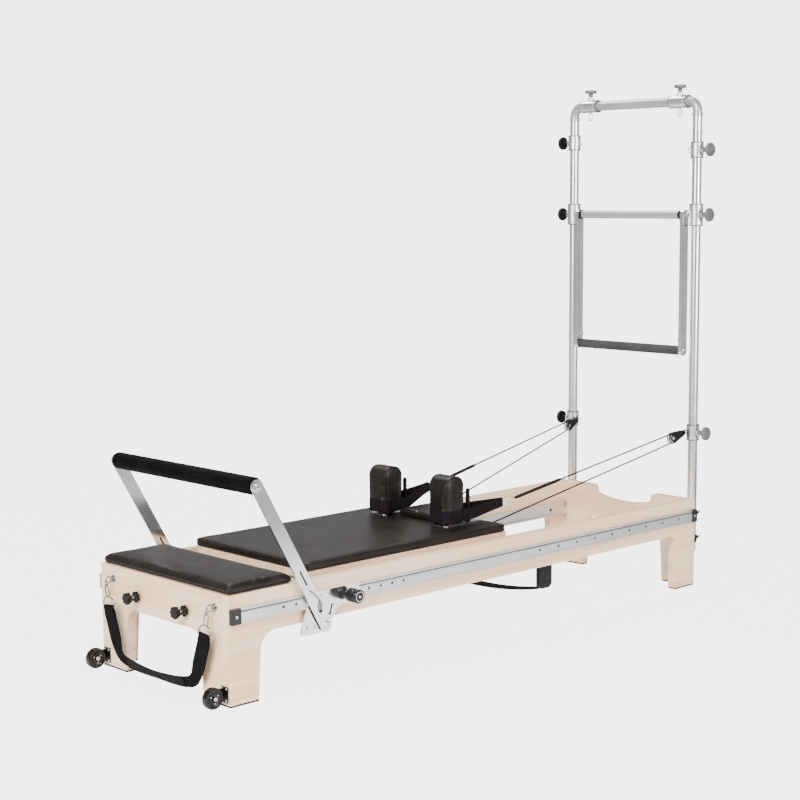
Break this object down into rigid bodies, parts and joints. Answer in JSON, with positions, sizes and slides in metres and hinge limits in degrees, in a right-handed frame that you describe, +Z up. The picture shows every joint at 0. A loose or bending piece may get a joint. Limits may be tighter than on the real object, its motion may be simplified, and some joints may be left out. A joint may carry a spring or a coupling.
{
  "type": "pilates reformer",
  "caption": "Maple pilates reformer with a rolling padded carriage, tilting footbar, shoulder rests, ropes on pulleys and a half-trapeze tower with a push-through bar.",
  "frame": {"origin": "bottom centre of the whole machine, on the floor", "axes": "+X from the foot end to the tower, +Y across to the left side, +Z up"},
  "size_m": [2.534, 0.8774, 2.0328],
  "materials": {
    "maple": "clear satin lacquer over pale maple",
    "leatherette": "satin dark espresso upholstery",
    "anodised": "silver anodised, satin",
    "chrome": "polished",
    "grey_tube": "grey metallic, satin",
    "black_plastic": "moulded, fine texture",
    "grey_plastic": "moulded, satin",
    "foam": "closed-cell foam, matt",
    "grey_foam": "closed-cell foam, matt",
    "webbing": "woven webbing",
    "rope": "braided cord",
    "steel": "zinc plated"
  },
  "bodies": {
    "frame": {"side_board_right": "maple", "side_board_left": "maple", "foot_end_board": "maple", "head_end_board": "maple", "outer_rail_right": "anodised", "outer_rail_left": "anodised", "inner_track_right": "anodised", "inner_track_left": "anodised", "platform_pad": "leatherette", "spring_bar": "steel", "under_frame_sling": "webbing", "wheel_bracket_right": "black_plastic", "wheel_bracket_left": "black_plastic", "post_right": "chrome", "post_left": "chrome", "top_bar": "grey_tube", "lower_collar_right": "chrome", "lower_collar_left": "chrome", "rope_right": "rope", "rope_left": "rope", "spring_pack": "steel"},
    "carriage": {"carriage_board": "maple", "carriage_pad": "leatherette", "shoulder_rest_right": "leatherette", "shoulder_rest_left": "leatherette", "shoulder_strap_right": "webbing", "shoulder_strap_left": "webbing"},
    "headrest": {"headrest": "leatherette"},
    "wheelset_front": {"wheelset_front": "grey_plastic"},
    "wheelset_rear": {"wheelset_rear": "grey_plastic"},
    "carry_strap": {"carry_strap": "webbing"},
    "footbar_carrier": {"footbar_slider_right": "chrome", "footbar_slider_left": "chrome"},
    "footbar": {"footbar_frame": "chrome", "footbar_grip": "foam"},
    "push_bar_carrier": {"push_bar_carrier": "chrome"},
    "push_bar": {"push_bar_frame": "chrome", "push_bar_grip": "grey_foam"},
    "transport_wheel_right": {"transport_wheel_right": "black_plastic"},
    "transport_wheel_left": {"transport_wheel_left": "black_plastic"},
    "adjuster_right": {"adjuster_screw_right": "black_plastic"},
    "adjuster_left": {"adjuster_screw_left": "black_plastic"},
    "plunger_right": {"plunger_right": "black_plastic"},
    "plunger_left": {"plunger_left": "black_plastic"},
    "top_collar_right": {"top_collar_right": "chrome"},
    "top_knob_right": {"top_knob_right": "grey_plastic"},
    "top_collar_left": {"top_collar_left": "chrome"},
    "top_knob_left": {"top_knob_left": "grey_plastic"},
    "upper_collar_right": {"upper_collar_right": "chrome"},
    "upper_knob_right": {"upper_knob_right": "grey_plastic"},
    "upper_collar_left": {"upper_collar_left": "chrome"},
    "upper_knob_left": {"upper_knob_left": "grey_plastic"},
    "carrier_knob_right": {"carrier_knob_right": "grey_plastic"},
    "carrier_knob_left": {"carrier_knob_left": "grey_plastic"},
    "lower_knob_right": {"lower_knob_right": "grey_plastic"},
    "lower_knob_left": {"lower_knob_left": "grey_plastic"},
    "pulley_right": {"pulley_block_right": "black_plastic"},
    "sheave_right": {"sheave_right": "grey_plastic"},
    "pulley_left": {"pulley_block_left": "black_plastic"},
    "sheave_left": {"sheave_left": "grey_plastic"}
  },
  "joints": [
    {"name": "carriage_slide", "type": "slide", "parent": "frame", "child": "carriage", "axis": [1, 0, 0], "range_m": [0, 0.78], "deforming": ["rope_right", "rope_left", "spring_pack"]},
    {"name": "headrest_tilt", "type": "hinge", "parent": "carriage", "child": "headrest", "pos_m": [-0.035, 0, 0.4008], "axis": [0, -1, 0], "range_deg": [0, 35]},
    {"name": "wheelset_front_roll", "type": "hinge", "parent": "carriage", "child": "wheelset_front", "pos_m": [-0.707, 0, 0.3033], "axis": [0, 1, 0], "range_deg": [-10, 1499.7]},
    {"name": "wheelset_rear_roll", "type": "hinge", "parent": "carriage", "child": "wheelset_rear", "pos_m": [0.023, 0, 0.3033], "axis": [0, 1, 0], "range_deg": [-10, 1499.7]},
    {"name": "transport_wheel_right_roll", "type": "hinge", "parent": "frame", "child": "transport_wheel_right", "pos_m": [-1.232, -0.327, 0.038], "axis": [0, 1, 0], "continuous": true},
    {"name": "transport_wheel_left_roll", "type": "hinge", "parent": "frame", "child": "transport_wheel_left", "pos_m": [-1.232, 0.327, 0.038], "axis": [0, 1, 0], "continuous": true},
    {"name": "adjuster_right_turn", "type": "hinge", "parent": "frame", "child": "adjuster_right", "pos_m": [-1.229, -0.134, 0.277], "axis": [1, 0, 0], "continuous": true},
    {"name": "adjuster_left_turn", "type": "hinge", "parent": "frame", "child": "adjuster_left", "pos_m": [-1.229, 0.134, 0.277], "axis": [1, 0, 0], "continuous": true},
    {"name": "carry_strap_swing", "type": "hinge", "parent": "frame", "child": "carry_strap", "pos_m": [-1.212, 0, 0.313], "axis": [0, 1, 0], "range_deg": [0, 75]},
    {"name": "footbar_slide", "type": "slide", "parent": "frame", "child": "footbar_carrier", "axis": [1, 0, 0], "range_m": [-0.106, 0.212]},
    {"name": "footbar_tilt", "type": "hinge", "parent": "footbar_carrier", "child": "footbar", "pos_m": [-0.807, 0, 0.207], "axis": [0, 1, 0], "range_deg": [-36, 40]},
    {"name": "plunger_right_pull", "type": "slide", "parent": "footbar_carrier", "child": "plunger_right", "axis": [0, -1, 0], "range_m": [0, 0.014], "stiffness_N_per_m": 300, "springref_m": -0.01},
    {"name": "plunger_left_pull", "type": "slide", "parent": "footbar_carrier", "child": "plunger_left", "axis": [0, 1, 0], "range_m": [0, 0.014], "stiffness_N_per_m": 300, "springref_m": -0.01},
    {"name": "top_collar_right_slide", "type": "slide", "parent": "frame", "child": "top_collar_right", "axis": [0, 1, 0], "range_m": [0, 0.12]},
    {"name": "top_knob_right_turn", "type": "hinge", "parent": "top_collar_right", "child": "top_knob_right", "pos_m": [1.239, -0.2335, 1.965], "axis": [0, 0, 1], "continuous": true},
    {"name": "top_collar_left_slide", "type": "slide", "parent": "frame", "child": "top_collar_left", "axis": [0, -1, 0], "range_m": [0, 0.12]},
    {"name": "top_knob_left_turn", "type": "hinge", "parent": "top_collar_left", "child": "top_knob_left", "pos_m": [1.239, 0.2335, 1.965], "axis": [0, 0, 1], "continuous": true},
    {"name": "upper_collar_right_slide", "type": "slide", "parent": "frame", "child": "upper_collar_right", "axis": [0, 0, 1], "range_m": [-0.05, 0.1]},
    {"name": "upper_knob_right_turn", "type": "hinge", "parent": "upper_collar_right", "child": "upper_knob_right", "pos_m": [1.239, -0.3217, 1.771], "axis": [0, 1, 0], "continuous": true},
    {"name": "upper_collar_left_slide", "type": "slide", "parent": "frame", "child": "upper_collar_left", "axis": [0, 0, 1], "range_m": [-0.05, 0.055]},
    {"name": "upper_knob_left_turn", "type": "hinge", "parent": "upper_collar_left", "child": "upper_knob_left", "pos_m": [1.239, 0.3217, 1.815], "axis": [0, 1, 0], "continuous": true},
    {"name": "push_bar_height", "type": "slide", "parent": "frame", "child": "push_bar_carrier", "axis": [0, 0, 1], "range_m": [-0.15, 0.1]},
    {"name": "push_bar_swing", "type": "hinge", "parent": "push_bar_carrier", "child": "push_bar", "pos_m": [1.221, 0, 1.512], "axis": [0, 1, 0], "range_deg": [-100, 100]},
    {"name": "carrier_knob_right_turn", "type": "hinge", "parent": "push_bar_carrier", "child": "carrier_knob_right", "pos_m": [1.239, -0.3217, 1.512], "axis": [0, 1, 0], "continuous": true},
    {"name": "carrier_knob_left_turn", "type": "hinge", "parent": "push_bar_carrier", "child": "carrier_knob_left", "pos_m": [1.239, 0.3217, 1.512], "axis": [0, 1, 0], "continuous": true},
    {"name": "lower_knob_right_turn", "type": "hinge", "parent": "frame", "child": "lower_knob_right", "pos_m": [1.239, -0.3217, 0.628], "axis": [0, 1, 0], "continuous": true},
    {"name": "lower_knob_left_turn", "type": "hinge", "parent": "frame", "child": "lower_knob_left", "pos_m": [1.239, 0.3217, 0.628], "axis": [0, 1, 0], "continuous": true},
    {"name": "pulley_right_swing", "type": "hinge", "parent": "frame", "child": "pulley_right", "pos_m": [1.229, -0.288, 0.628], "axis": [-0.1206, -0.9927, 0], "range_deg": [-3, 3]},
    {"name": "sheave_right_spin", "type": "hinge", "parent": "pulley_right", "child": "sheave_right", "pos_m": [1.15753, -0.27931, 0.6075], "axis": [-0.1206, -0.9927, 0], "continuous": true},
    {"name": "pulley_left_swing", "type": "hinge", "parent": "frame", "child": "pulley_left", "pos_m": [1.229, 0.288, 0.628], "axis": [0.1317, -0.9913, 0], "range_deg": [-3, 3]},
    {"name": "sheave_left_spin", "type": "hinge", "parent": "pulley_left", "child": "sheave_left", "pos_m": [1.15763, 0.27852, 0.6075], "axis": [0.1317, -0.9913, 0], "continuous": true}
  ],
  "couplings": [
    {"joint": "wheelset_front_roll", "follows": "carriage_slide", "rad_per_m": 33.333},
    {"joint": "wheelset_rear_roll", "follows": "carriage_slide", "rad_per_m": 33.333}
  ]
}
